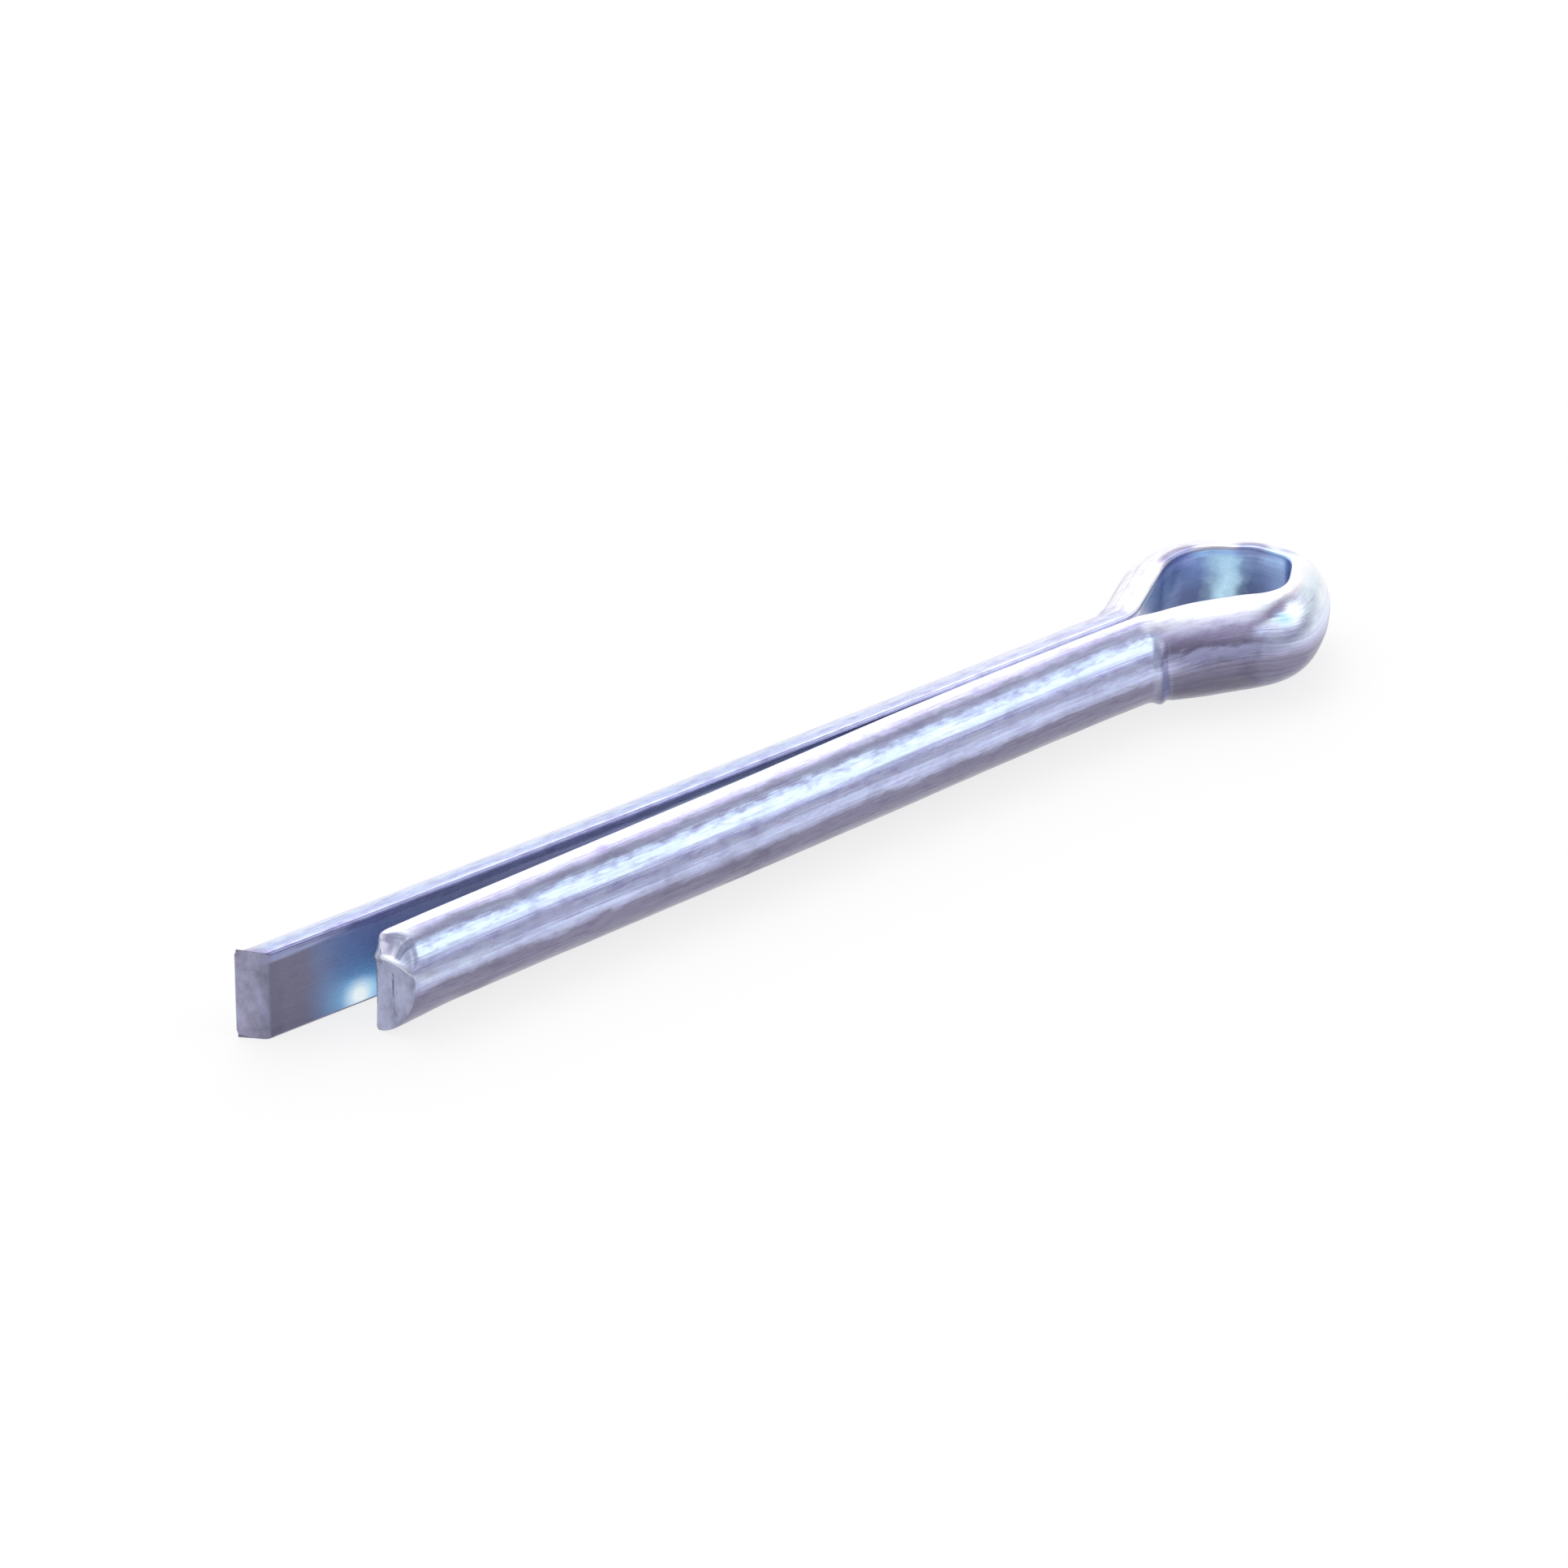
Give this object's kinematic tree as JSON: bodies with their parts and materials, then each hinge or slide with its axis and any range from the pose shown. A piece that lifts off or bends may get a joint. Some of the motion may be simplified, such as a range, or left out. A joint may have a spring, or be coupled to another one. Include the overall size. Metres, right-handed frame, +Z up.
{
  "type": "cotter pin",
  "caption": "Split cotter pin bent from half-round wire, with a teardrop eye and two legs of unequal length, one end sheared and the other nipped to a wedge.",
  "frame": {"origin": "middle of the pin's bounding box, on the surface that it lies on", "axes": "+X along the legs towards the eye; +Y across the legs, from the shorter leg to the longer one; +Z up, the pin lying on its side"},
  "size_m": [0.0462, 0.0074, 0.0036],
  "materials": {
    "zinc": "bright zinc plate with a bluish passivation and drawing lines along the wire"
  },
  "bodies": {
    "root": {"cotter_pin": "zinc"}
  },
  "joints": []
}
